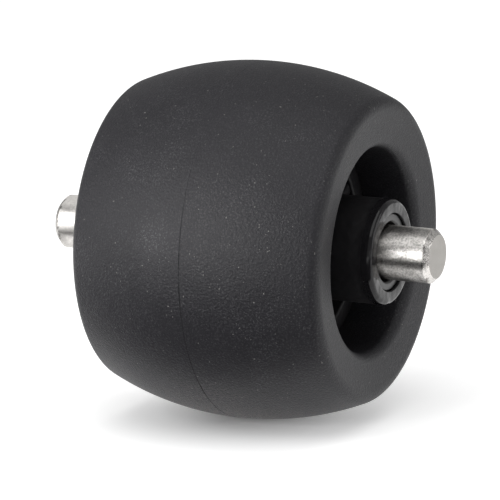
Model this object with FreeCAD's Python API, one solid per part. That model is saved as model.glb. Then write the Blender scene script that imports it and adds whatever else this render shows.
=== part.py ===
"""Front castor wheel of a robot vacuum: a crowned rubber tyre on a ribbed hub that spins on a steel axle.

Millimetres, +Z up. The axle lies along Y with its mid-length at the origin.
"""

import FreeCAD, Part

import math
import os

from FreeCAD import Vector

# Axle: a plain steel pin that stands out past both ends of the hub
AXLE_DIAMETER = 5.0
AXLE_STANDOUT = 5.5
AXLE_CHAMFER = 0.5

# Wheel: where its middle stands along the axle, which it is free to slide on
WHEEL_SHIFT = -1.0

# Tyre: overall size, the arc across its tread and the form of its sides
TYRE_DIAMETER = 33.0
TYRE_WIDTH = 24.5
CROWN_RADIUS = 29.0
SHOULDER_RADIUS = 1.3
SIDE_DISH_ANGLE = 7.0
MOUTH_DIAMETER = 18.8
MOUTH_ROUNDING = 1.0
LIP_OVERLAP = 0.8

# Hub: rim deep inside the tyre, web across its middle, boss round the axle
RIM_INSET = 5.65
RIM_INNER_DIAMETER = 15.6
RIM_ROUNDING = 0.25
WEB_THICKNESS = 2.4
WEB_FILLET = 0.8
BOSS_DIAMETER = 9.7
BOSS_PROUD = 1.25
BOSS_ROUNDING = 0.45
BORE_CLEARANCE = 0.35

# Hub ribs: straight spokes that stiffen the rim on both sides of the web
RIB_COUNT = 6
RIB_FIRST_ANGLE = 28.0
RIB_ROOT_THICKNESS = 1.6
RIB_TOP_THICKNESS = 1.2
RIB_TOP_ROUNDING = 0.3
RIB_BELOW_RIM = 0.3

# Bushes: plain sleeves pressed into the ends of the boss
BUSH_WALL = 0.85
BUSH_LENGTH = 6.0
BUSH_INSET = 0.25
BUSH_CHAMFER = 0.15
RUNNING_CLEARANCE = 0.25

# Worked out from the sizes above
AXLE_RADIUS = AXLE_DIAMETER / 2
TYRE_RADIUS = TYRE_DIAMETER / 2
TYRE_HALF = TYRE_WIDTH / 2
MOUTH_RADIUS = MOUTH_DIAMETER / 2
RIM_RADIUS = MOUTH_RADIUS + LIP_OVERLAP
RIM_INNER_RADIUS = RIM_INNER_DIAMETER / 2
RIM_HALF = TYRE_HALF - RIM_INSET
WEB_HALF = WEB_THICKNESS / 2
BOSS_RADIUS = BOSS_DIAMETER / 2
BOSS_HALF = TYRE_HALF + BOSS_PROUD
BUSH_BORE_RADIUS = AXLE_RADIUS + RUNNING_CLEARANCE
BUSH_RADIUS = BUSH_BORE_RADIUS + BUSH_WALL
AXLE_HALF = BOSS_HALF + AXLE_STANDOUT
BUSH_OUTER_END = BOSS_HALF - BUSH_INSET
BUSH_INNER_END = BUSH_OUTER_END - BUSH_LENGTH
HUB_BORE_RADIUS = AXLE_RADIUS + BORE_CLEARANCE
RIB_TOP = RIM_HALF - RIB_BELOW_RIM

AXLE_LINE = Vector(0, 1, 0)
ORIGIN = Vector(0, 0, 0)


def at(radius, along):
    """A point of a turned section: its distance from the axle line and its place along it."""
    return Vector(radius, along, 0)


def mirrored(point):
    """The same section point on the other side of the wheel's middle."""
    return Vector(point.x, -point.y, point.z)


def line(start, end):
    return Part.LineSegment(start, end).toShape()


def arc(start, middle, end):
    return Part.Arc(start, middle, end).toShape()


def outline(points):
    """Straight edges through the points, one after the other."""
    return [line(a, b) for a, b in zip(points, points[1:])]


def turned(edges):
    """A solid of revolution about the axle line from a closed section."""
    section = Part.Face(Part.Wire(Part.__sortEdges__(edges)))
    return section.revolve(ORIGIN, AXLE_LINE, 360)


def on_circle(centre, radius, degrees):
    """A point on a section circle; 0 degrees is away from the axle, 90 is along it."""
    turn = math.radians(degrees)
    return at(centre.x + radius * math.cos(turn), centre.y + radius * math.sin(turn))


def wheel_place(shape):
    """Move a wheel piece from the wheel's middle to its place on the axle."""
    return shape.translated(AXLE_LINE * WHEEL_SHIFT)


def tyre_side():
    """Edges of one side, from the rim's end to the shoulder, and its two ends on the seat and the crown."""
    dish = math.radians(SIDE_DISH_ANGLE)
    crown_centre = TYRE_RADIUS - CROWN_RADIUS
    shoulder_along = TYRE_HALF - SHOULDER_RADIUS
    shoulder_reach = CROWN_RADIUS - SHOULDER_RADIUS
    shoulder = at(crown_centre + math.sqrt(shoulder_reach**2 - shoulder_along**2), shoulder_along)
    shoulder_start = math.degrees(math.asin(shoulder_along / shoulder_reach))
    shoulder_end = 90 + SIDE_DISH_ANGLE

    # the mouth rounding touches both the side face and the straight mouth
    mouth_out = MOUTH_RADIUS + MOUTH_ROUNDING
    fall = (shoulder.x - mouth_out) * math.tan(dish)
    mouth_along = shoulder.y - fall + (SHOULDER_RADIUS - MOUTH_ROUNDING) / math.cos(dish)
    mouth = at(mouth_out, mouth_along)

    crown_edge = on_circle(shoulder, SHOULDER_RADIUS, shoulder_start)
    side_outer = on_circle(shoulder, SHOULDER_RADIUS, shoulder_end)
    shoulder_middle = on_circle(shoulder, SHOULDER_RADIUS, (shoulder_start + shoulder_end) / 2)
    side_inner = on_circle(mouth, MOUTH_ROUNDING, shoulder_end)
    mouth_edge = on_circle(mouth, MOUTH_ROUNDING, 180)
    mouth_middle = on_circle(mouth, MOUTH_ROUNDING, (shoulder_end + 180) / 2)
    lip_edge = at(MOUTH_RADIUS, RIM_HALF)
    seat_edge = at(RIM_RADIUS, RIM_HALF)

    edges = outline([seat_edge, lip_edge, mouth_edge])
    edges.append(arc(mouth_edge, mouth_middle, side_inner))
    edges.append(line(side_inner, side_outer))
    edges.append(arc(side_outer, shoulder_middle, crown_edge))
    return edges, seat_edge, crown_edge


def make_tyre():
    """One rubber moulding: barrel tread, rounded shoulders and lips that lap over the rim's ends."""
    edges, seat_edge, crown_edge = tyre_side()
    far_side = [edge.mirror(ORIGIN, AXLE_LINE) for edge in edges]
    crown = arc(crown_edge, at(TYRE_RADIUS, 0), mirrored(crown_edge))
    seat = line(seat_edge, mirrored(seat_edge))
    return wheel_place(turned(edges + far_side + [crown, seat]))


def hub_side():
    """Edges of one side of the hub's section, from the middle of its bore to the middle of its rim."""
    rounding_centre = at(BOSS_RADIUS - BOSS_ROUNDING, BOSS_HALF - BOSS_ROUNDING)
    boss_face = on_circle(rounding_centre, BOSS_ROUNDING, 90)
    boss_middle = on_circle(rounding_centre, BOSS_ROUNDING, 45)
    boss_side = on_circle(rounding_centre, BOSS_ROUNDING, 0)

    inner_fillet = at(BOSS_RADIUS + WEB_FILLET, WEB_HALF + WEB_FILLET)
    outer_fillet = at(RIM_INNER_RADIUS - WEB_FILLET, WEB_HALF + WEB_FILLET)
    boss_root, boss_root_middle, web_inner = [on_circle(inner_fillet, WEB_FILLET, a) for a in (180, 225, 270)]
    web_outer, rim_root_middle, rim_root = [on_circle(outer_fillet, WEB_FILLET, a) for a in (270, 315, 360)]

    rim_edge = at(RIM_INNER_RADIUS + RIM_ROUNDING, RIM_HALF - RIM_ROUNDING)
    rim_wall, rim_edge_middle, rim_face = [on_circle(rim_edge, RIM_ROUNDING, a) for a in (180, 135, 90)]

    edges = outline([
        at(HUB_BORE_RADIUS, 0),
        at(HUB_BORE_RADIUS, BUSH_INNER_END),
        at(BUSH_RADIUS, BUSH_INNER_END),
        at(BUSH_RADIUS, BOSS_HALF),
        boss_face,
    ])
    edges.append(arc(boss_face, boss_middle, boss_side))
    edges.append(line(boss_side, boss_root))
    edges.append(arc(boss_root, boss_root_middle, web_inner))
    edges.append(line(web_inner, web_outer))
    edges.append(arc(web_outer, rim_root_middle, rim_root))
    edges.append(line(rim_root, rim_wall))
    edges.append(arc(rim_wall, rim_edge_middle, rim_face))
    edges += outline([rim_face, at(RIM_RADIUS, RIM_HALF), at(RIM_RADIUS, 0)])
    return edges


def make_rib():
    """One rib with drafted flanks and a rounded top, from inside the boss to inside the rim, along X."""
    start = (BUSH_RADIUS + BOSS_RADIUS) / 2
    end = (RIM_INNER_RADIUS + RIM_RADIUS) / 2
    root = RIB_ROOT_THICKNESS / 2
    top = RIB_TOP_THICKNESS / 2
    corner = RIB_TOP_ROUNDING * (1 - math.sqrt(0.5))

    def section(along, across):
        return Vector(start, along, across)

    left_low = section(0, -root)
    left_high = section(RIB_TOP - RIB_TOP_ROUNDING, -top)
    left_corner = section(RIB_TOP - corner, -top + corner)
    left_top = section(RIB_TOP, -top + RIB_TOP_ROUNDING)
    right_low, right_high, right_corner, right_top = [
        Vector(p.x, p.y, -p.z) for p in (left_low, left_high, left_corner, left_top)
    ]
    edges = outline([left_high, left_low, right_low, right_high])
    edges.append(arc(right_high, right_corner, right_top))
    edges.append(line(right_top, left_top))
    edges.append(arc(left_top, left_corner, left_high))
    return Part.Face(Part.Wire(Part.__sortEdges__(edges))).extrude(Vector(end - start, 0, 0))


def make_hub():
    """One plastic moulding: rim, web and boss turned as one section, with ribs on both sides of the web."""
    near_side = hub_side()
    far_side = [edge.mirror(ORIGIN, AXLE_LINE) for edge in near_side]
    body = turned(near_side + far_side)
    rib = make_rib()
    ribs = []
    for index in range(RIB_COUNT):
        one = rib.copy()
        one.rotate(ORIGIN, AXLE_LINE, RIB_FIRST_ANGLE + index * 360 / RIB_COUNT)
        ribs += [one, one.mirror(ORIGIN, AXLE_LINE)]
    return wheel_place(body.fuse(ribs).removeSplitter())


def make_bush(side):
    """One plain bush, pressed into the boss end on the given side of the wheel, its edges chamfered."""
    outer = side * BUSH_OUTER_END
    inner = side * BUSH_INNER_END
    step = side * BUSH_CHAMFER
    corners = [
        at(BUSH_BORE_RADIUS, inner + step),
        at(BUSH_BORE_RADIUS + BUSH_CHAMFER, inner),
        at(BUSH_RADIUS - BUSH_CHAMFER, inner),
        at(BUSH_RADIUS, inner + step),
        at(BUSH_RADIUS, outer - step),
        at(BUSH_RADIUS - BUSH_CHAMFER, outer),
        at(BUSH_BORE_RADIUS + BUSH_CHAMFER, outer),
        at(BUSH_BORE_RADIUS, outer - step),
    ]
    return wheel_place(turned(outline(corners + corners[:1])))


def make_axle():
    """The steel pin, centred on the origin."""
    corners = [
        at(0, -AXLE_HALF),
        at(AXLE_RADIUS - AXLE_CHAMFER, -AXLE_HALF),
        at(AXLE_RADIUS, -AXLE_HALF + AXLE_CHAMFER),
        at(AXLE_RADIUS, AXLE_HALF - AXLE_CHAMFER),
        at(AXLE_RADIUS - AXLE_CHAMFER, AXLE_HALF),
        at(0, AXLE_HALF),
    ]
    return turned(outline(corners + corners[:1]))


def main():
    pieces = {
        "tyre": make_tyre(),
        "hub": make_hub(),
        "near_bush": make_bush(-1),
        "far_bush": make_bush(1),
        "axle": make_axle(),
    }
    os.makedirs("parts", exist_ok=True)
    for name, shape in pieces.items():
        shape.exportStep(f"parts/{name}.step")
        print(name, len(shape.Solids), "solid", shape.isValid(), round(shape.Volume, 2), "cubic mm")


main()
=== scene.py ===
"""Looks of a robot vacuum front wheel: rubber tyre, ribbed hub, bushes and steel axle on a pale floor.

Metres, +Z up. The axle lies along Y with its mid-length at the origin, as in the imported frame.
"""

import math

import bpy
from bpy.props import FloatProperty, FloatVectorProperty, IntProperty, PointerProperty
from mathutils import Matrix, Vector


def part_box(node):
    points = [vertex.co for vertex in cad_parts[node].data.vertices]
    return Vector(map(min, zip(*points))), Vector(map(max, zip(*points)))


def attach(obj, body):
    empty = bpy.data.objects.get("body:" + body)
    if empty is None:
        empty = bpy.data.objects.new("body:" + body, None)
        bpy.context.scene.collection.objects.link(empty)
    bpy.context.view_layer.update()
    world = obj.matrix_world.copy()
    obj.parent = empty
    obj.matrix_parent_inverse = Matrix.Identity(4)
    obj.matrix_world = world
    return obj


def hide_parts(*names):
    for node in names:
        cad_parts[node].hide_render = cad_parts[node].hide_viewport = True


bl_info = {
    "name": "Castor Wheel",
    "version": (1, 0, 0),
    "blender": (4, 5, 0),
    "location": "3D View > Sidebar > Castor Wheel",
    "description": "Builds the tyre, hub, bushes and axle of a small castor wheel with their finishes",
    "category": "Object",
}

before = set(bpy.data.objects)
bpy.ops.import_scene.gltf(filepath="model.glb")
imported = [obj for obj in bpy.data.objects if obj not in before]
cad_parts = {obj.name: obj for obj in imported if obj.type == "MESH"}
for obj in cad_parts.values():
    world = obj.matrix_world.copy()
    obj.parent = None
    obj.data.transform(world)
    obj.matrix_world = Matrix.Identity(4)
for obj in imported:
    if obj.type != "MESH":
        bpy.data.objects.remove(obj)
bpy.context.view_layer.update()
MM = 0.001

# Places and sizes read from the frame
TYRE_LOW, TYRE_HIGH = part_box("tyre")
HUB_LOW, HUB_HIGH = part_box("hub")
BUSH_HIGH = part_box("near_bush")[1]
AXLE_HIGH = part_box("axle")[1]
TYRE_HALF_WIDTH = (TYRE_HIGH.y - TYRE_LOW.y) / 2
BOSS_HALF_LENGTH = (HUB_HIGH.y - HUB_LOW.y) / 2
WHEEL_MIDDLE = (TYRE_LOW.y + TYRE_HIGH.y) / 2
WHEEL_CENTRE = Vector((0, WHEEL_MIDDLE, 0))
FLOOR_LEVEL = TYRE_LOW.z

# Middles of the pale painted highlight on the tread, of the seam's dark stretch (dirt and painted shade) and
# of the floor dust, and the middle of the shadow painted on the floor
SHEEN_PATCH_PLACE = (-16.2 * MM, 1.6 * MM, 2.6 * MM)
SEAM_DIRT_AND_SHADE_PLACE = (-13.3 * MM, WHEEL_MIDDLE, -9.7 * MM)
SOIL_PLACE = (-4.5 * MM, WHEEL_MIDDLE, -15.8 * MM)
PAINTED_SHADOW_PLACE = (-4 * MM, WHEEL_MIDDLE + 1.5 * MM, FLOOR_LEVEL)

# Steps that round off a corner of an outline
CROWN_STEPS = 28
SHOULDER_STEPS = 12
BOSS_STEPS = 10
FILLET_STEPS = 8
ROUNDING_STEPS = 6
PIN_STEPS = 5
EDGE_STEPS = 4
FINE_STEPS = 3
TINY_STEPS = 2

# Radius of the ring that carries an outline round, and the turn that lays the result along the axle
LATHE_RING = 10 * MM
LAID_DOWN = (-math.pi / 2, 0, 0)

# Points this near are merged, and edges that turn by less than this are shaded smooth
WELD = 0.001 * MM
SHARP_ANGLE = math.radians(32)

# Sockets of a Mix node that mixes colours
MIX_SHARE, MIX_LOW, MIX_HIGH = 0, 6, 7
MIX_RESULT = 2

# The steel's fine rings are ten times finer along the axle than round it
RING_STRETCH = (1, 10, 1)

# Height of the dark card above the floor, and the nearest thing seen as a share of the camera's distance
CARD_LIFT = 0.2 * MM
CLIP_SHARE = 0.1
LAMPS = ("key", "strip", "top", "fill")


# Kinds of settings


def length_setting(name, description, default):
    return FloatProperty(name=name, description=description, default=default, unit="LENGTH", precision=5)


def angle_setting(name, description, degrees):
    return FloatProperty(name=name, description=description, default=math.radians(degrees), subtype="ANGLE")


def count_setting(name, description, default):
    return IntProperty(name=name, description=description, default=default, min=3)


def share_setting(name, description, default):
    return FloatProperty(name=name, description=description, default=default, min=0, max=1, subtype="FACTOR")


def strength_setting(name, description, default):
    return FloatProperty(name=name, description=description, default=default, min=0)


def power_setting(name, description, default):
    return FloatProperty(name=name, description=description, default=default, min=0, unit="POWER")


def size_setting(name, description, default):
    return FloatVectorProperty(name=name, description=description, default=default, size=2, unit="LENGTH")


def place_setting(name, description, default):
    return FloatVectorProperty(
        name=name, description=description, default=default, size=3, subtype="TRANSLATION"
    )


def colour_setting(name, description, default):
    return FloatVectorProperty(
        name=name, description=description, default=default, size=3, min=0, max=1, subtype="COLOR"
    )


class TyreSettings(bpy.types.PropertyGroup):
    """Sizes and finish of the rubber tyre."""

    radius: length_setting("Radius", "Largest radius, at the middle of the tread", TYRE_HIGH.z)
    half_width: length_setting("Half width", "From the middle to a side", TYRE_HALF_WIDTH)
    crown_radius: length_setting("Crown radius", "Radius of the arc across the tread", 29 * MM)
    shoulder_radius: length_setting("Shoulder radius", "Rounding between tread and side", 1.3 * MM)
    dish_angle: angle_setting("Dish angle", "How far the sides slope inwards to the mouth", 7)
    mouth_radius: length_setting("Mouth radius", "Radius of the open middle of a side", 9.4 * MM)
    mouth_rounding: length_setting("Mouth rounding", "Rounding of the mouth's edge", 1.0 * MM)
    lip_edge: length_setting("Lip edge", "Rounding of the lip's edge on the rim's end", 0.08 * MM)
    seat_radius: length_setting("Seat radius", "Radius of the seat on the hub's rim", HUB_HIGH.z)
    seat_half: length_setting("Seat half width", "From the middle to the lip over the rim's end", 6.6 * MM)
    seat_edge: length_setting("Seat edge", "Rounding in the corners of the seat", 0.05 * MM)
    seam_width: length_setting("Seam width", "Width of the fine groove where the mould parted", 0.11 * MM)
    seam_depth: length_setting("Seam depth", "Depth of that groove", 0.018 * MM)
    seam_flat: share_setting("Seam flat", "Half of its flat bottom, as a share of its width", 0.05)
    seam_bottom: length_setting("Seam bottom", "Rounding at the bottom of the seam", 0.02 * MM)
    seam_edge: length_setting("Seam edge", "Rounding of the seam's edges", 0.03 * MM)
    segments: count_setting("Segments", "Flats round the tyre", 224)
    colour: colour_setting("Rubber colour", "Colour of the rubber", (0.0126, 0.0120, 0.0147))
    tone_spread: share_setting("Tone spread", "How far grain and clouds darken and lighten it", 0.4)
    roughness: share_setting("Roughness", "Roughness of the rubber", 0.47)
    grain_roughness: share_setting("Grain roughness", "How much it changes with the grain", 0.08)
    cloud_roughness: share_setting("Cloud roughness", "How much it changes with the clouds", 0.06)
    grain_depth: length_setting("Grain depth", "Height of the leathery grain", 0.075 * MM)
    gloss: share_setting("Gloss", "Strength of the rubber's reflection", 0.30)
    dust_colour: colour_setting("Dust colour", "Colour of the fine specks", (0.075, 0.074, 0.078))
    speck_share: share_setting("Specks", "How strongly the fine specks show everywhere", 0.34)
    speck_patches: share_setting("Speck patches", "How much more they show in patches", 0.3)
    # the sheen patch: its middle is painted pale as a painted highlight where the highlight falls on the
    # tread, and pale specks show more in it
    rubbed_place: place_setting("Rubbed place", "Middle of a patch rubbed pale on the tread", SHEEN_PATCH_PLACE)
    rubbed_reach: length_setting("Rubbed reach", "From its middle to its fading edge", 2.6 * MM)
    rubbed_pale: share_setting("Rubbed pale", "How far its middle turns to the dust's colour", 0.14)
    rubbed_specks: share_setting("Rubbed specks", "How much more the specks show in its middle", 0.7)
    mote_colour: colour_setting("Mote colour", "Colour of the few larger motes", (0.13, 0.126, 0.122))
    soil_colour: colour_setting("Soil colour", "Colour of the floor dust", (0.125, 0.107, 0.104))
    soil_place: place_setting("Soil place", "Middle of the dusty patch, near the floor", SOIL_PLACE)
    soil_reach: length_setting("Soil reach", "From its middle to its fading edge", 10 * MM)
    soil_share: share_setting("Soil", "Least strength of the floor dust in its middle", 0.3)
    # the seam's dark colour is dirt together with painted shade of the groove, laid along one stretch of the
    # seam
    grime_colour: colour_setting("Grime colour", "Colour of the dirt in the seam", (0.003, 0.003, 0.0035))
    grime_place: place_setting("Grime place", "Middle of the dirty stretch of the seam", SEAM_DIRT_AND_SHADE_PLACE)
    grime_reach: length_setting("Grime reach", "From its middle to its fading ends", 19 * MM)
    grime_share: share_setting("Grime", "Least strength of the dirt along that stretch", 0.45)
    grime_dulling: share_setting("Grime dulling", "How much rougher the dirt is than the rubber", 0.4)


class HubSettings(bpy.types.PropertyGroup):
    """Sizes and finish of the plastic hub."""

    rim_radius: length_setting("Rim radius", "Outer radius of the rim", HUB_HIGH.z)
    rim_inside: length_setting("Rim inside", "Inner radius of the rim", 7.8 * MM)
    rim_half: length_setting("Rim half width", "From the middle to an end of the rim", 6.6 * MM)
    rim_rounding: length_setting("Rim rounding", "Rounding of the rim's inner edge", 0.25 * MM)
    web_half: length_setting("Web half thickness", "Half of the web's thickness", 1.2 * MM)
    web_fillet: length_setting("Web fillet", "Rounding where the web meets boss and rim", 0.8 * MM)
    boss_radius: length_setting("Boss radius", "Outer radius of the boss", 4.85 * MM)
    boss_half: length_setting("Boss half length", "From the middle to an end of the boss", BOSS_HALF_LENGTH)
    boss_rounding: length_setting("Boss rounding", "Rounding of the boss's outer edge", 0.45 * MM)
    seat_radius: length_setting("Bush seat radius", "Radius of the seat for a bush", BUSH_HIGH.x)
    seat_end: length_setting("Bush seat end", "From the middle to the bush seat", WHEEL_MIDDLE - BUSH_HIGH.y)
    bore_radius: length_setting("Bore radius", "Radius of the bore between the bushes", 2.85 * MM)
    edge: length_setting("Edge", "Softness of the other moulded edges", 0.08 * MM)
    rib_count: count_setting("Ribs", "Ribs round the boss", 6)
    rib_angle: angle_setting("First rib", "Turn of the first rib about the axle", 28)
    rib_root: length_setting("Rib root", "Thickness of a rib in the middle of the wheel", 1.6 * MM)
    rib_top: length_setting("Rib top", "Thickness of a rib at its outer edge", 1.2 * MM)
    rib_half: length_setting("Rib half width", "From the middle to a rib's outer edge", 6.3 * MM)
    rib_rounding: length_setting("Rib rounding", "Rounding of a rib's outer edges", 0.3 * MM)
    rib_bend: length_setting("Rib bend", "Rounding where its two drafted halves meet", 0.05 * MM)
    segments: count_setting("Segments", "Flats round the hub", 160)
    colour: colour_setting("Hub colour", "Colour of the moulded plastic", (0.0100, 0.0094, 0.0106))
    tone_spread: share_setting("Tone spread", "How far the grain darkens and lightens it", 0.3)
    roughness: share_setting("Roughness", "Roughness of the plastic in the recess", 0.52)
    end_roughness: share_setting("End roughness", "Roughness of the boss's polished ends", 0.12)
    polish_depth: length_setting("Polish depth", "From an end of the boss to the dull plastic", 1.5 * MM)
    grain_roughness: share_setting("Grain roughness", "How much roughness changes with the grain", 0.06)
    cloud_roughness: share_setting("Cloud roughness", "How much it changes in soft clouds", 0.06)
    grain_depth: length_setting("Grain depth", "Height of the fine grain", 0.006 * MM)
    wave_depth: length_setting("Wave depth", "Height of the slight waviness", 0.12 * MM)
    gloss: share_setting("Gloss", "Strength of the plastic's reflection", 0.27)


class BushSettings(bpy.types.PropertyGroup):
    """Sizes and finish of the two bushes."""

    radius: length_setting("Radius", "Outer radius", BUSH_HIGH.x)
    bore_radius: length_setting("Bore radius", "Radius of the running bore", 2.75 * MM)
    chamfer: length_setting("Chamfer", "Chamfer of every edge", 0.15 * MM)
    edge: length_setting("Edge", "Softness of the chamfers' own edges", 0.03 * MM)
    segments: count_setting("Segments", "Flats round a bush", 128)
    colour: colour_setting("Bush colour", "Colour of the bushes", (0.013, 0.0125, 0.013))
    tone_spread: share_setting("Tone spread", "How far the grain darkens and lightens it", 0.3)
    roughness: share_setting("Roughness", "Roughness of the bushes", 0.33)
    grain_roughness: share_setting("Grain roughness", "How much it changes with the grain", 0.08)
    cloud_roughness: share_setting("Cloud roughness", "How much it changes in soft clouds", 0.08)
    grain_depth: length_setting("Grain depth", "Height of the fine grain", 0.006 * MM)


class AxleSettings(bpy.types.PropertyGroup):
    """Sizes and finish of the steel axle."""

    radius: length_setting("Radius", "Radius of the pin", AXLE_HIGH.z)
    half_length: length_setting("Half length", "From the middle to an end", AXLE_HIGH.y)
    chamfer: length_setting("Chamfer", "Chamfer of the two ends", 0.5 * MM)
    edge: length_setting("Edge", "Softness of the chamfers' edges", 0.1 * MM)
    segments: count_setting("Segments", "Flats round the axle", 128)
    colour: colour_setting("Steel colour", "Colour of the bright steel", (0.91, 0.883, 0.850))
    roughness: share_setting("Roughness", "Roughness of the ground surface", 0.36)
    mottle_roughness: share_setting("Mottle roughness", "How much it changes with the mottle", 0.1)
    patch_roughness: share_setting("Patch roughness", "How much it changes in the dull patches", 0.06)
    chamfer_polish: share_setting("Chamfer polish", "How much smoother the chamfers are", 0.15)
    mottle_depth: length_setting("Mottle depth", "Height of the mottle", 0.03 * MM)
    ring_depth: length_setting("Ring depth", "Height of the fine rings", 0.012 * MM)
    sheen_along: share_setting("Sheen", "How much wider the sheen spreads along the axle than round it", 0.92)
    # this colour is both the handling marks' wear and the painted shade on the chamfers and flat ends
    worn_colour: colour_setting("Worn colour", "Colour of the handling marks", (0.36, 0.345, 0.325))
    patch_wear: share_setting("Patch wear", "How far the dull patches turn to that colour", 0.3)
    mark_wear: share_setting("Mark wear", "How far the small marks turn to it", 0.65)
    chamfer_wear: share_setting("Chamfer wear", "How far the chamfers turn to it", 0.35)
    far_wear: share_setting("Far chamfer shade", "How much further the far chamfer turns to it", 0.6)
    end_wear: share_setting("End wear", "How far the flat ends turn to it", 0.94)
    end_depth: length_setting("End depth", "What counts as a flat end, measured along the axle", 0.02 * MM)
    far_cleanness: share_setting("Far cleanness", "How much fewer marks the far half has", 0.65)
    scuff_colour: colour_setting("Scuff colour", "Colour of scuffs along the chamfers", (0.10, 0.095, 0.09))
    scuff_reach: length_setting("Scuff reach", "From a chamfer's edge to where they end", 0.3 * MM)


class StageSettings(bpy.types.PropertyGroup):
    """Camera, floor and lamps."""

    azimuth: angle_setting("Azimuth", "Where the camera stands round the wheel", -64.79)
    elevation: angle_setting("Elevation", "How far the camera looks down", 11.875)
    distance: length_setting("Distance", "From the camera to the wheel's middle", 401.9 * MM)
    lens: FloatProperty(
        name="Lens", description="Focal length on a 36 mm sensor", default=314.2, unit="CAMERA"
    )
    aim_across: length_setting("Aim across", "Aim point, to the right of the wheel's middle", -0.7055 * MM)
    aim_up: length_setting("Aim up", "Aim point, above the wheel's middle", -0.994 * MM)
    floor_size: length_setting("Floor size", "Side of the square floor", 6.0)
    floor_colour: colour_setting("Floor colour", "Colour of the pale floor", (0.95, 0.95, 0.95))
    floor_lift: strength_setting("Floor lift", "Glow that lifts the floor to white as it is seen", 0.40)
    # the floor's lift fades out towards this place, which paints a shadow there
    shadow_place: place_setting("Shadow place", "Where the floor isn't lifted at all", PAINTED_SHADOW_PLACE)
    shadow_reach: length_setting("Shadow reach", "From there to where it is lifted in full", 16 * MM)
    ambient: strength_setting("Ambient", "Strength of the light from all round", 0.48)
    key_place: place_setting("Key place", "Where the large lamp on the left stands", (-0.38, 0.42, 0.24))
    key_size: size_setting("Key size", "Width and height of that lamp", (0.45, 0.45))
    key_power: power_setting("Key power", "Power of that lamp", 1.7)
    strip_place: place_setting("Strip place", "Where the narrow lamp on the left is", (-0.40, 0.10, 0.085))
    strip_size: size_setting("Strip size", "Width and height of that lamp", (0.12, 0.16))
    strip_power: power_setting("Strip power", "Power of that lamp", 0.95)
    top_place: place_setting("Top place", "Where the large lamp overhead hangs", (-0.12, -0.05, 0.45))
    top_size: size_setting("Top size", "Width and depth of that lamp", (0.5, 0.5))
    top_power: power_setting("Top power", "Power of that lamp", 1.1)
    fill_place: place_setting("Fill place", "Where the weak lamp on the right stands", (0.15, -0.45, 0.12))
    fill_size: size_setting("Fill size", "Width and height of that lamp", (0.3, 0.3))
    fill_power: power_setting("Fill power", "Power of that lamp", 0.42)
    card_near: length_setting("Card near", "From the axle to the dark card's near edge", 13.5 * MM)
    card_far: length_setting("Card far", "From the axle to its far edge", 75 * MM)
    card_left: length_setting("Card left", "From the wheel's middle to its left edge", 40 * MM)
    card_right: length_setting("Card right", "From the wheel's middle to its right edge", 150 * MM)
    card_colour: colour_setting("Card colour", "Colour of the dark card", (0.02, 0.02, 0.02))


# Node graphs


class Value:
    """An output socket that plain arithmetic can be written with; each operation adds its Math node."""

    def __init__(self, graph, socket):
        self.graph = graph
        self.socket = socket

    def __add__(self, other):
        return self.graph.math("ADD", self, other)

    def __radd__(self, other):
        return self.graph.math("ADD", other, self)

    def __sub__(self, other):
        return self.graph.math("SUBTRACT", self, other)

    def __rsub__(self, other):
        return self.graph.math("SUBTRACT", other, self)

    def __mul__(self, other):
        return self.graph.math("MULTIPLY", self, other)

    def __rmul__(self, other):
        return self.graph.math("MULTIPLY", other, self)

    def __truediv__(self, other):
        return self.graph.math("DIVIDE", self, other)

    def __neg__(self):
        return self.graph.math("MULTIPLY", self, -1)


class Graph:
    """Adds nodes to one node tree."""

    def __init__(self, tree):
        self.tree = tree

    def add(self, kind, settings=None, sockets=None, output=0):
        """Add a node, set its settings, then fill or link its sockets; gives back one of its outputs.

        A list fills one socket with several links.
        """
        node = self.tree.nodes.new(kind)
        for name, value in (settings or {}).items():
            if name == "stops":
                self.set_stops(node.color_ramp, value)
            elif name == "items":
                self.set_items(node.index_switch_items, value)
            else:
                setattr(node, name, value)
        for key, value in (sockets or {}).items():
            for each in value if isinstance(value, list) else [value]:
                self.fill(node.inputs[key], each)
        return Value(self, node.outputs[output]) if node.outputs else None

    def fill(self, socket, value):
        """Link a value to a socket, or set the socket's own number, colour or vector."""
        if isinstance(value, Value):
            self.tree.links.new(value.socket, socket)
        else:
            socket.default_value = value

    def set_stops(self, ramp, stops):
        """Give a ramp's two stops their positions and grey levels."""
        for element, (position, level) in zip(ramp.elements, stops):
            element.position = position
            element.color = (level, level, level, 1)

    def set_items(self, items, count):
        """Give a switch this many choices."""
        while len(items) < count:
            items.new()

    def math(self, operation, *values):
        """The result of one Math node."""
        return self.add("ShaderNodeMath", {"operation": operation}, dict(enumerate(values)))

    def mix(self, share, low, high):
        """A colour between two colours."""
        settings = {"data_type": "RGBA", "clamp_factor": True}
        sockets = {MIX_SHARE: share, MIX_LOW: low, MIX_HIGH: high}
        return self.add("ShaderNodeMix", settings, sockets, output=MIX_RESULT)


def scene_object(name, data):
    """A new object in the scene, at the origin."""
    made = bpy.data.objects.new(name, data)
    bpy.context.scene.collection.objects.link(made)
    return made


# Geometry trees


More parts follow.
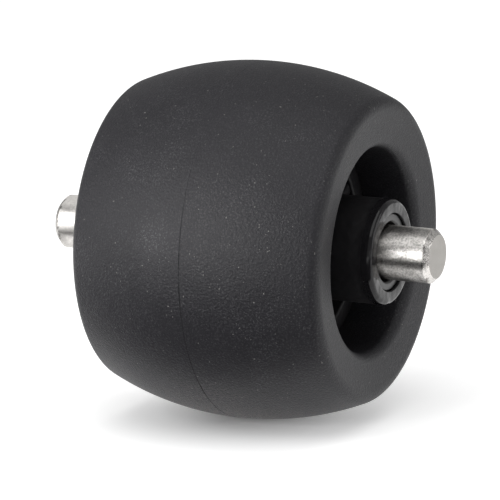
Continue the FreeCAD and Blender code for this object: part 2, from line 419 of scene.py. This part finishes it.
class ShapeGraph(Graph):
    """A geometry tree whose named inputs are the sizes of one piece."""

    def __init__(self, name, material):
        super().__init__(bpy.data.node_groups.new(name, "GeometryNodeTree"))
        self.tree.interface.new_socket("Geometry", in_out="INPUT", socket_type="NodeSocketGeometry")
        self.tree.interface.new_socket("Geometry", in_out="OUTPUT", socket_type="NodeSocketGeometry")
        self.given = {}
        self.inputs = self.tree.nodes.new("NodeGroupInput")
        self.material = material

    def size(self, name, value):
        """A named input of the tree, with the value that its modifier is given."""
        kind = "NodeSocketInt" if isinstance(value, int) else "NodeSocketFloat"
        item = self.tree.interface.new_socket(name, in_out="INPUT", socket_type=kind)
        self.given[item.identifier] = value
        return Value(self, self.inputs.outputs[item.identifier])

    def sizes(self, settings, *names):
        """Named inputs for several of a piece's settings."""
        return [self.size(settings.bl_rna.properties[n].name, getattr(settings, n)) for n in names]

    def pick(self, kind, choices):
        """The choice at each point's index."""
        sockets = {str(number): choice for number, choice in enumerate(choices)}
        sockets["Index"] = self.add("GeometryNodeInputIndex")
        return self.add("GeometryNodeIndexSwitch", {"data_type": kind, "items": len(choices)}, sockets)

    def outline(self, corners, closed=True):
        """A curve through corners of (across, along, rounding, steps of the rounding)."""
        across, along, roundings, steps = zip(*corners)
        places = [self.add("ShaderNodeCombineXYZ", None, {"X": x, "Y": y}) for x, y in zip(across, along)]
        points = self.add("GeometryNodeMeshLine", None, {"Count": len(corners)})
        curve = self.add("GeometryNodeMeshToCurve", None, {"Mesh": points})
        curve = self.add("GeometryNodeSetSplineCyclic", None, {"Geometry": curve, "Cyclic": closed})
        sockets = {"Geometry": curve, "Position": self.pick("VECTOR", places)}
        curve = self.add("GeometryNodeSetPosition", None, sockets)
        sockets = {"Curve": curve, "Limit Radius": False}
        sockets["Radius"] = self.pick("FLOAT", roundings)
        sockets["Count"] = self.pick("INT", steps)
        return self.add("GeometryNodeFilletCurve", {"mode": "POLY"}, sockets)

    def turned(self, curve, segments):
        """The outline turned about Z, with its across as the radius and its along as the height."""
        sockets = {"Resolution": segments, "Radius": LATHE_RING}
        ring = self.add("GeometryNodeCurvePrimitiveCircle", None, sockets)
        sockets = {"Geometry": curve, "Translation": (-LATHE_RING, 0, 0)}
        inwards = self.add("GeometryNodeTransform", None, sockets)
        mesh = self.add("GeometryNodeCurveToMesh", None, {"Curve": ring, "Profile Curve": inwards})
        return self.add("GeometryNodeMergeByDistance", None, {"Geometry": mesh, "Distance": WELD})

    def finish(self, mesh, along):
        """Lay the shape along the axle, shade it, give it its material and end the tree."""
        sockets = {"Geometry": mesh, "Translation": (0, along, 0), "Rotation": LAID_DOWN}
        mesh = self.add("GeometryNodeTransform", None, sockets)
        angle = self.add("GeometryNodeInputMeshEdgeAngle")
        soft = self.add("FunctionNodeCompare", {"operation": "LESS_THAN"}, {"A": angle, "B": SHARP_ANGLE})
        for domain, smooth in (("FACE", True), ("EDGE", soft)):
            sockets = {"Geometry": mesh, "Shade Smooth": smooth}
            mesh = self.add("GeometryNodeSetShadeSmooth", {"domain": domain}, sockets)
        mesh = self.add("GeometryNodeRealizeInstances", None, {"Geometry": mesh})
        mesh = self.add("GeometryNodeSetMaterial", None, {"Geometry": mesh, "Material": self.material})
        self.add("NodeGroupOutput", None, {"Geometry": mesh})

    def piece(self, name):
        """Run the tree once and keep its result as a plain mesh object at the origin."""
        made = scene_object(name, bpy.data.meshes.new(name))
        shape = made.modifiers.new("Shape", "NODES")
        shape.node_group = self.tree
        for identifier, value in self.given.items():
            shape[identifier] = value
        depsgraph = bpy.context.evaluated_depsgraph_get()
        mesh = bpy.data.meshes.new_from_object(made.evaluated_get(depsgraph), depsgraph=depsgraph)
        made.modifiers.remove(shape)
        if not mesh.polygons:
            raise RuntimeError(f"{name} came out with no faces")
        mesh.name = name
        made.data = mesh
        return made


def both_sides(corners):
    """The corners of one side of the wheel and, in reverse order, of the other."""
    mirrored = [(across, -along, rounding, steps) for across, along, rounding, steps in corners]
    return corners + mirrored[::-1]


def place_on(piece, node, body):
    """Let a finished piece stand for a node of the frame."""
    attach(piece, body)
    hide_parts(node)


def tyre_shape(settings, material):
    """The tyre: a barrel tread with a fine seam, round shoulders, dished sides and a seat for the rim."""
    graph = ShapeGraph("Tyre shape", material)
    radius, half, crown, shoulder = graph.sizes(
        settings, "radius", "half_width", "crown_radius", "shoulder_radius"
    )
    dish, mouth, mouth_rounding = graph.sizes(settings, "dish_angle", "mouth_radius", "mouth_rounding")
    lip_edge, seat, seat_half, seat_edge = graph.sizes(
        settings, "lip_edge", "seat_radius", "seat_half", "seat_edge"
    )
    seam, depth, flat, bottom, seam_edge = graph.sizes(
        settings, "seam_width", "seam_depth", "seam_flat", "seam_bottom", "seam_edge"
    )
    [segments] = graph.sizes(settings, "segments")

    # the crown is one arc on each side of the seam, tangent to the shoulder
    crown_centre = radius - crown
    edge_turn = graph.math("ARCSINE", (half - shoulder) / (crown - shoulder))
    seam_turn = seam / crown
    middle_turn = (edge_turn + seam_turn) / 2
    reach = crown / graph.math("COSINE", (edge_turn - seam_turn) / 2)
    crown_across = crown_centre + reach * graph.math("COSINE", middle_turn)
    crown_along = reach * graph.math("SINE", middle_turn)

    # the side is a straight slope that touches the shoulder's arc
    slope = graph.math("TANGENT", dish)
    shoulder_across = crown_centre + (crown - shoulder) * graph.math("COSINE", edge_turn)
    side_along = half - shoulder + shoulder / graph.math("COSINE", dish)

    # the shoulder's corner is where the tangent at the crown's edge meets that slope
    edge_slope = graph.math("TANGENT", edge_turn)
    edge_across = crown_centre + crown * graph.math("COSINE", edge_turn)
    edge_along = crown * graph.math("SINE", edge_turn)
    above_slope = edge_along - side_along + slope * shoulder_across
    meet = (edge_across + edge_slope * above_slope) / (1 + edge_slope * slope)

    side = [
        (radius - depth, flat * seam, bottom, TINY_STEPS),
        (radius, seam / 2, seam_edge, FINE_STEPS),
        (crown_across, crown_along, crown, CROWN_STEPS),
        (meet, side_along + slope * (meet - shoulder_across), shoulder, SHOULDER_STEPS),
        (mouth, side_along + slope * (mouth - shoulder_across), mouth_rounding, SHOULDER_STEPS),
        (mouth, seat_half, lip_edge, FINE_STEPS),
        (seat, seat_half, seat_edge, TINY_STEPS),
    ]
    mesh = graph.turned(graph.outline(both_sides(side)), segments)
    graph.finish(mesh, WHEEL_MIDDLE)
    return graph.piece("rubber_tyre")


def hub_shape(settings, material):
    """The hub: rim, web and boss turned as one, with straight ribs right across the wheel."""
    graph = ShapeGraph("Hub shape", material)
    rim, rim_inside, rim_half, rim_rounding = graph.sizes(
        settings, "rim_radius", "rim_inside", "rim_half", "rim_rounding"
    )
    web_half, fillet = graph.sizes(settings, "web_half", "web_fillet")
    boss, boss_half, boss_rounding = graph.sizes(settings, "boss_radius", "boss_half", "boss_rounding")
    seat, seat_end, bore, edge = graph.sizes(settings, "seat_radius", "seat_end", "bore_radius", "edge")
    [segments] = graph.sizes(settings, "segments")
    side = [
        (bore, seat_end, edge, FINE_STEPS),
        (seat, seat_end, edge, FINE_STEPS),
        (seat, boss_half, edge, EDGE_STEPS),
        (boss, boss_half, boss_rounding, BOSS_STEPS),
        (boss, web_half, fillet, FILLET_STEPS),
        (rim_inside, web_half, fillet, FILLET_STEPS),
        (rim_inside, rim_half, rim_rounding, ROUNDING_STEPS),
        (rim, rim_half, edge, EDGE_STEPS),
    ]
    body = graph.turned(graph.outline(both_sides(side)), segments)
    union = {"operation": "UNION", "solver": "MANIFOLD"}
    mesh = graph.add("GeometryNodeMeshBoolean", union, {"Mesh 2": [body, hub_ribs(graph, settings)]})
    graph.finish(mesh, WHEEL_MIDDLE)
    return graph.piece("moulded_hub")


def hub_ribs(graph, settings):
    """The ribs, each drafted towards its two outer edges, from inside the boss to inside the rim."""
    root, top, half = graph.sizes(settings, "rib_root", "rib_top", "rib_half")
    rounding, bend = graph.sizes(settings, "rib_rounding", "rib_bend")
    count, first = graph.sizes(settings, "rib_count", "rib_angle")
    root_half = root / 2
    top_half = top / 2
    section = [
        (root_half, 0.0, bend, TINY_STEPS),
        (top_half, half, rounding, ROUNDING_STEPS),
        (-top_half, half, rounding, ROUNDING_STEPS),
        (-root_half, 0.0, bend, TINY_STEPS),
        (-top_half, -half, rounding, ROUNDING_STEPS),
        (top_half, -half, rounding, ROUNDING_STEPS),
    ]
    start = (settings.seat_radius + settings.boss_radius) / 2
    end = (settings.rim_inside + settings.rim_radius) / 2
    line = graph.add("GeometryNodeCurvePrimitiveLine", None, {"Start": (start, 0, 0), "End": (end, 0, 0)})
    sockets = {"Curve": line, "Profile Curve": graph.outline(section), "Fill Caps": True}
    rib = graph.add("GeometryNodeCurveToMesh", None, sockets)
    points = graph.add("GeometryNodePoints", None, {"Count": count})
    turn = first + graph.add("GeometryNodeInputIndex") * (2 * math.pi) / count
    turns = graph.add("ShaderNodeCombineXYZ", None, {"Z": turn})
    sockets = {"Points": points, "Instance": rib, "Rotation": turns}
    ribs = graph.add("GeometryNodeInstanceOnPoints", None, sockets)
    return graph.add("GeometryNodeRealizeInstances", None, {"Geometry": ribs})


def bush_shape(settings, material, name, low, high):
    """One bush: a plain sleeve with chamfered edges, between two places along the axle."""
    graph = ShapeGraph("Bush shape", material)
    radius, bore, chamfer, edge, segments = graph.sizes(
        settings, "radius", "bore_radius", "chamfer", "edge", "segments"
    )
    half = graph.size("Half length", (high - low) / 2)
    side = [
        (bore, half - chamfer, edge, FINE_STEPS),
        (bore + chamfer, half, edge, FINE_STEPS),
        (radius - chamfer, half, edge, FINE_STEPS),
        (radius, half - chamfer, edge, FINE_STEPS),
    ]
    mesh = graph.turned(graph.outline(both_sides(side)), segments)
    graph.finish(mesh, (low + high) / 2)
    return graph.piece(name)


def axle_shape(settings, material):
    """The axle: a plain pin with chamfered ends."""
    graph = ShapeGraph("Axle shape", material)
    radius, half, chamfer, edge, segments = graph.sizes(
        settings, "radius", "half_length", "chamfer", "edge", "segments"
    )
    side = [
        (0.0, half, 0.0, 0),
        (radius - chamfer, half, edge, PIN_STEPS),
        (radius, half - chamfer, edge, PIN_STEPS),
    ]
    mesh = graph.turned(graph.outline(both_sides(side), closed=False), segments)
    graph.finish(mesh, 0)
    return graph.piece("steel_axle")


# Finishes


def rgba(colour):
    return (*colour, 1)


class FinishGraph(Graph):
    """A material's node tree, which knows the place on the piece in millimetres."""

    def __init__(self, name, viewport_colour):
        self.material = bpy.data.materials.new(name)
        self.material.use_nodes = True
        self.material.diffuse_color = rgba(viewport_colour)
        super().__init__(self.material.node_tree)
        self.tree.nodes.clear()
        place = self.add("ShaderNodeTexCoord", output="Object")
        self.place = self.add("ShaderNodeVectorMath", {"operation": "SCALE"}, {0: place, "Scale": 1 / MM})

    def stretched(self, stretch):
        """The place on the piece, times a different number along each axis."""
        return self.add("ShaderNodeVectorMath", {"operation": "MULTIPLY"}, {0: self.place, 1: stretch})

    def noise(self, per_mm, detail=2, roughness=0.5, place=None):
        """Smooth noise from 0 to 1 with this many features in a millimetre."""
        sockets = {"Vector": place or self.place, "Scale": per_mm, "Detail": detail, "Roughness": roughness}
        return self.add("ShaderNodeTexNoise", {"normalize": True}, sockets)

    def along(self):
        """The place along the axle, in millimetres."""
        return self.add("ShaderNodeSeparateXYZ", None, {"Vector": self.place}, output="Y")

    def away_from(self, middle):
        """How far along the axle a point is from a place there, in millimetres."""
        return self.math("ABSOLUTE", self.along() - middle / MM)

    def patch(self, place, reach):
        """1 at a place on the piece, fading to 0 at its reach."""
        sockets = {0: self.place, 1: tuple(part / MM for part in place)}
        away = self.add("ShaderNodeVectorMath", {"operation": "DISTANCE"}, sockets, output="Value")
        return self.faded(away, reach)

    def faded(self, away, reach):
        """1 where a distance in millimetres is nothing, fading to 0 at its reach."""
        return self.math("MAXIMUM", 1 - away / (reach / MM), 0)

    def rise(self, value, start, end):
        """0 up to the start, 1 past the end and an even rise between them."""
        return self.add("ShaderNodeValToRGB", {"stops": [(start, 0), (end, 1)]}, {"Fac": value})

    def varied(self, mean, *parts):
        """A number that varies about its mean with each part's noise, by that part's amount."""
        for noise, amount in parts:
            mean = mean - amount / 2 + amount * noise
        return mean

    def shades(self, colour, spread, share):
        """A colour that is darker by a spread where the share is 0, and lighter by it where it is 1."""
        dark = rgba([(1 - spread) * level for level in colour])
        light = rgba([(1 + spread) * level for level in colour])
        return self.mix(share, dark, light)

    def layered(self, ground, *layers):
        """A ground colour under layers of (colour, share), the lowest first."""
        for colour, share in layers:
            ground = self.mix(share, ground, rgba(colour))
        return ground

    def bump(self, height, distance, under=None):
        """A normal bent by a height, on top of another bump's normal where there is one."""
        sockets = {"Height": height, "Distance": distance}
        if under:
            sockets["Normal"] = under
        return self.add("ShaderNodeBump", None, sockets)

    def end(self, shader):
        """Make a shader the material's surface."""
        self.add("ShaderNodeOutputMaterial", None, {"Surface": shader})
        return self.material

    def principled(self, sockets):
        """End the tree in one Principled shader."""
        return self.end(self.add("ShaderNodeBsdfPrincipled", None, sockets))


def speck_strength(graph, settings, patches):
    """How far the tread turns to the dust's colour: pale specks, more in patches and most in the sheen patch,
    whose middle is also painted pale as a painted highlight.
    """
    highlit = graph.patch(settings.rubbed_place, settings.rubbed_reach)
    specks = graph.rise(graph.noise(per_mm=6.5, roughness=0.6), start=0.52, end=0.74)
    strength = settings.speck_share + settings.speck_patches * patches + settings.rubbed_specks * highlit
    # the first term is a painted highlight: the sheen patch's middle painted pale
    return settings.rubbed_pale * highlit + specks * strength


def grime_strength(graph, settings, patches):
    """How dark the seam is painted, for dirt and for painted shade of the groove: only in the seam, along one
    stretch of it, and most in patches.
    """
    away = graph.away_from(WHEEL_MIDDLE)
    seam = graph.math("LESS_THAN", away, settings.seam_width / MM / 2)
    stretch = graph.rise(graph.patch(settings.grime_place, settings.grime_reach), start=0.05, end=0.4)
    return seam * (settings.grime_share + (1 - settings.grime_share) * patches) * stretch


def rubber_finish(settings):
    """Matte moulded rubber: leathery grain, faint clouds, pale specks, floor dust, a pale painted highlight
    on the tread and a seam painted dark for dirt and painted shade.
    """
    graph = FinishGraph("Moulded rubber", settings.colour)
    grain = graph.noise(per_mm=4.8, detail=3, roughness=0.6)
    cloud = graph.noise(per_mm=0.16, detail=3, roughness=0.55)
    patches = graph.rise(graph.noise(per_mm=0.3), start=0.45, end=0.65)
    flecks = graph.rise(graph.noise(per_mm=3.2, detail=3, roughness=0.7), start=0.47, end=0.62)
    motes = graph.rise(graph.noise(per_mm=4.6, detail=0), start=0.82, end=0.86)
    soiled = graph.patch(settings.soil_place, settings.soil_reach)
    # the seam is painted dark: dirt together with painted shade of the groove
    seam_dirt_and_shade = grime_strength(graph, settings, patches)
    colour = graph.layered(
        graph.shades(settings.colour, settings.tone_spread, (grain + cloud) / 2),
        (settings.dust_colour, speck_strength(graph, settings, patches)),
        (settings.soil_colour, soiled * flecks * (settings.soil_share + cloud)),
        (settings.mote_colour, motes),
        (settings.grime_colour, seam_dirt_and_shade),
    )
    grain_part = (grain, settings.grain_roughness)
    cloud_part = (cloud, settings.cloud_roughness)
    roughness = graph.varied(settings.roughness, grain_part, cloud_part) + settings.grime_dulling * seam_dirt_and_shade
    # the grain stands higher under the floor dust
    normal = graph.bump(grain * (1 + soiled), settings.grain_depth)
    sockets = {"Base Color": colour, "Roughness": roughness, "Normal": normal}
    return graph.principled({**sockets, "Specular IOR Level": settings.gloss})


def hub_finish(settings):
    """Black moulded plastic, slightly wavy, dull in the recess and polished on the ends of the boss."""
    graph = FinishGraph("Moulded hub plastic", settings.colour)
    grain = graph.noise(per_mm=6, detail=3, roughness=0.6)
    cloud = graph.noise(per_mm=0.5)
    wave = graph.noise(per_mm=0.8, detail=1)
    depth = settings.boss_half / MM - graph.away_from(WHEEL_MIDDLE)
    dull = graph.rise(depth / (settings.polish_depth / MM), start=0.5, end=1)
    mean = settings.end_roughness + dull * (settings.roughness - settings.end_roughness)
    cloud_part = (cloud, settings.cloud_roughness)
    grain_part = (grain, settings.grain_roughness)
    sockets = {
        "Base Color": graph.shades(settings.colour, settings.tone_spread, grain),
        "Roughness": graph.varied(mean, cloud_part, grain_part),
        "Normal": graph.bump(grain, settings.grain_depth, graph.bump(wave, settings.wave_depth)),
    }
    return graph.principled({**sockets, "Specular IOR Level": settings.gloss})


def bush_finish(settings):
    """Dark bearing plastic with a satin surface."""
    graph = FinishGraph("Bush plastic", settings.colour)
    grain = graph.noise(per_mm=7, detail=3, roughness=0.6)
    cloud = graph.noise(per_mm=0.6)
    cloud_part = (cloud, settings.cloud_roughness)
    grain_part = (grain, settings.grain_roughness)
    sockets = {
        "Base Color": graph.shades(settings.colour, settings.tone_spread, grain),
        "Roughness": graph.varied(settings.roughness, cloud_part, grain_part),
        "Normal": graph.bump(grain, settings.grain_depth),
    }
    return graph.principled(sockets)


def steel_finish(settings):
    """Ground bright steel: fine rings, a mottle of handling marks, dull patches, scuffed chamfers, and
    chamfers and flat ends painted darker as painted shade, the far chamfer most.

    Its sheen spreads along the axle, and its far half, past the middle, has fewer marks.
    """
    graph = FinishGraph("Ground steel", settings.colour)
    rings = graph.noise(per_mm=1.2, roughness=0.6, place=graph.stretched(RING_STRETCH))
    mottle = graph.noise(per_mm=5, detail=3, roughness=0.65)
    patches = graph.rise(graph.noise(per_mm=0.9, detail=3, roughness=0.55), start=0.42, end=0.62)
    far = graph.math("GREATER_THAN", graph.along(), 0)
    handled = 1 - settings.far_cleanness * far
    marks = handled * graph.rise(mottle, start=0.40, end=0.65)

    # depth is measured from the nearer end of the axle, in millimetres
    depth = settings.half_length / MM - graph.away_from(0)
    ends = graph.math("LESS_THAN", depth, settings.end_depth / MM)
    chamfers = graph.math("LESS_THAN", depth, settings.chamfer / MM)
    from_edge = graph.math("ABSOLUTE", depth - settings.chamfer / MM)
    scuffs = graph.rise(graph.noise(per_mm=1.6, detail=3, roughness=0.6), start=0.52, end=0.62)
    edge_scuffs = graph.faded(from_edge, settings.scuff_reach) * scuffs

    # painted shade: the chamfers and flat ends are painted darker, the far chamfer most
    shaded_chamfers = chamfers * (settings.chamfer_wear + settings.far_wear * far)
    shaded_ends = graph.math("MAXIMUM", shaded_chamfers, settings.end_wear * ends)
    worn_sides = settings.patch_wear * patches + settings.mark_wear * marks
    wear_and_shade = graph.math("MAXIMUM", worn_sides, shaded_ends)
    colour = graph.layered(
        rgba(settings.colour), (settings.worn_colour, wear_and_shade), (settings.scuff_colour, edge_scuffs)
    )
    mottle_part = (mottle, settings.mottle_roughness)
    patch_part = (patches, settings.patch_roughness)
    polish = settings.chamfer_polish * (chamfers - ends)
    roughness = graph.varied(settings.roughness, mottle_part, patch_part) - polish
    normal = graph.bump(handled * mottle, settings.mottle_depth, graph.bump(rings, settings.ring_depth))
    sockets = {"Base Color": colour, "Metallic": 1.0, "Roughness": roughness, "Normal": normal}
    return graph.principled({**sockets, "Anisotropic": settings.sheen_along})


# Stage


def ray_is(graph, kind):
    """1 on rays of one kind, 0 on the rest."""
    return graph.add("ShaderNodeLightPath", output=f"Is {kind} Ray")


def flat_sheet(name, corners, level, material):
    """A flat sheet with four corners at one level, as a part of the stage."""
    mesh = bpy.data.meshes.new(name)
    mesh.from_pydata([(x, y, level) for x, y in corners], [], [(0, 1, 2, 3)])
    mesh.materials.append(material)
    sheet = scene_object(name, mesh)
    return sheet


def pale_floor(settings):
    """A wide pale floor that keeps the wheel's shadow and is lifted to white as it is seen and mirrored.

    As it is seen directly, the lift fades out towards one place under the wheel, which paints a deeper shadow
    there on top of the wheel's own.
    """
    graph = FinishGraph("Pale floor", settings.floor_colour)
    diffuse = graph.add("ShaderNodeBsdfDiffuse", None, {"Color": rgba(settings.floor_colour)})
    # painted shadow: the glow seen directly is withheld near one place under the wheel
    seen = ray_is(graph, "Camera") * (1 - graph.patch(settings.shadow_place, settings.shadow_reach))
    mirrored = graph.math("MAXIMUM", ray_is(graph, "Glossy"), ray_is(graph, "Transmission"))
    glow = graph.add("ShaderNodeEmission", None, {"Strength": settings.floor_lift * (seen + mirrored)})
    material = graph.end(graph.add("ShaderNodeAddShader", None, {0: diffuse, 1: glow}))
    half = settings.floor_size / 2
    corners = [(-half, -half), (half, -half), (half, half), (-half, half)]
    flat_sheet("pale_floor", corners, FLOOR_LEVEL, material)


def dark_card(settings):
    """A dark card on the floor in front of the wheel that shows only in reflections.

    It gives the steel its dark band and keeps the lower tread dark.
    """
    graph = FinishGraph("Dark card", settings.card_colour)
    material = graph.end(graph.add("ShaderNodeBsdfDiffuse", None, {"Color": rgba(settings.card_colour)}))
    near, far = -settings.card_near, -settings.card_far
    left, right = WHEEL_MIDDLE + settings.card_left, WHEEL_MIDDLE - settings.card_right
    corners = [(near, right), (near, left), (far, left), (far, right)]
    card = flat_sheet("dark_card", corners, FLOOR_LEVEL + CARD_LIFT, material)
    card.visible_camera = False
    card.visible_diffuse = False
    card.visible_shadow = False


def soft_surround(settings):
    """An even light from all round."""
    world = bpy.data.worlds.new("Soft surround")
    world.use_nodes = True
    world.node_tree.nodes.clear()
    graph = Graph(world.node_tree)
    light = graph.add("ShaderNodeBackground", None, {"Strength": settings.ambient})
    graph.add("ShaderNodeOutputWorld", None, {"Surface": light})
    bpy.context.scene.world = world


def aimed(name, data, place, aim):
    """An object for a lamp or a camera that stands at a place and looks at its aim."""
    holder = scene_object(name, data)
    holder.location = place
    holder.rotation_mode = "QUATERNION"
    holder.rotation_quaternion = (aim - Vector(place)).to_track_quat("-Z", "Y")
    return holder


def area_lamp(name, place, size, power):
    """A soft lamp of this width and height at a place, turned to the wheel and hidden from the camera."""
    lamp = bpy.data.lights.new(name, "AREA")
    lamp.shape = "RECTANGLE"
    lamp.size, lamp.size_y = size
    lamp.energy = power
    holder = aimed(name, lamp, place, WHEEL_CENTRE)
    holder.visible_camera = False


def photo_camera(settings):
    """The camera at the photograph's viewing angle."""
    turn, rise = settings.azimuth, settings.elevation
    back = Vector((math.sin(turn) * math.cos(rise), -math.cos(turn) * math.cos(rise), math.sin(rise)))
    right = Vector((math.cos(turn), math.sin(turn), 0))
    aim = WHEEL_CENTRE + settings.aim_across * right + settings.aim_up * back.cross(right)
    camera = bpy.data.cameras.new("Photo camera")
    camera.lens = settings.lens
    camera.clip_start = CLIP_SHARE * settings.distance
    place = WHEEL_CENTRE + settings.distance * back
    bpy.context.scene.camera = aimed("Photo camera", camera, place, aim)


# Operators


class MakeTyre(bpy.types.Operator):
    """Build the rubber tyre in place of its node"""

    bl_idname = "castor_wheel.make_tyre"
    bl_label = "Make Tyre"

    def execute(self, context):
        settings = context.scene.castor_tyre
        place_on(tyre_shape(settings, rubber_finish(settings)), "tyre", "wheel")
        return {"FINISHED"}


class MakeHub(bpy.types.Operator):
    """Build the ribbed hub in place of its node"""

    bl_idname = "castor_wheel.make_hub"
    bl_label = "Make Hub"

    def execute(self, context):
        settings = context.scene.castor_hub
        place_on(hub_shape(settings, hub_finish(settings)), "hub", "wheel")
        return {"FINISHED"}


class MakeBushes(bpy.types.Operator):
    """Build both bushes in place of their nodes"""

    bl_idname = "castor_wheel.make_bushes"
    bl_label = "Make Bushes"

    def execute(self, context):
        settings = context.scene.castor_bush
        material = bush_finish(settings)
        for node in ("near_bush", "far_bush"):
            low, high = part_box(node)
            bush = bush_shape(settings, material, f"{node}_sleeve", low.y, high.y)
            place_on(bush, node, "wheel")
        return {"FINISHED"}


class MakeAxle(bpy.types.Operator):
    """Build the steel axle in place of its node"""

    bl_idname = "castor_wheel.make_axle"
    bl_label = "Make Axle"

    def execute(self, context):
        settings = context.scene.castor_axle
        place_on(axle_shape(settings, steel_finish(settings)), "axle", "axle")
        return {"FINISHED"}


class SetStage(bpy.types.Operator):
    """Set the floor, the light and the camera"""

    bl_idname = "castor_wheel.set_stage"
    bl_label = "Set Stage"

    def execute(self, context):
        settings = context.scene.castor_stage
        soft_surround(settings)
        pale_floor(settings)
        dark_card(settings)
        for name in LAMPS:
            place, size, power = (getattr(settings, f"{name}_{part}") for part in ("place", "size", "power"))
            area_lamp(f"{name} lamp", place, size, power)
        photo_camera(settings)
        context.scene.view_settings.view_transform = "Standard"
        return {"FINISHED"}


class CastorWheelPanel(bpy.types.Panel):
    """Lists the steps that build the wheel and their settings"""

    bl_idname = "VIEW3D_PT_castor_wheel"
    bl_label = "Castor Wheel"
    bl_space_type = "VIEW_3D"
    bl_region_type = "UI"
    bl_category = "Castor Wheel"

    def draw(self, context):
        for operator, group, owner in BUILD_ORDER:
            column = self.layout.column(align=True)
            column.operator(operator.bl_idname)
            for name in group.__annotations__:
                column.prop(getattr(context.scene, owner), name)


# Each step's operator, its settings and the scene's name for them
BUILD_ORDER = (
    (MakeTyre, TyreSettings, "castor_tyre"),
    (MakeHub, HubSettings, "castor_hub"),
    (MakeBushes, BushSettings, "castor_bush"),
    (MakeAxle, AxleSettings, "castor_axle"),
    (SetStage, StageSettings, "castor_stage"),
)


def register():
    for operator, group, owner in BUILD_ORDER:
        bpy.utils.register_class(group)
        setattr(bpy.types.Scene, owner, PointerProperty(type=group))
        bpy.utils.register_class(operator)
    bpy.utils.register_class(CastorWheelPanel)


def unregister():
    bpy.utils.unregister_class(CastorWheelPanel)
    for operator, group, owner in reversed(BUILD_ORDER):
        bpy.utils.unregister_class(operator)
        delattr(bpy.types.Scene, owner)
        bpy.utils.unregister_class(group)


def main():
    register()
    bpy.ops.castor_wheel.make_tyre()
    bpy.ops.castor_wheel.make_hub()
    bpy.ops.castor_wheel.make_bushes()
    bpy.ops.castor_wheel.make_axle()
    bpy.ops.castor_wheel.set_stage()


if __name__ == "__main__":
    main()
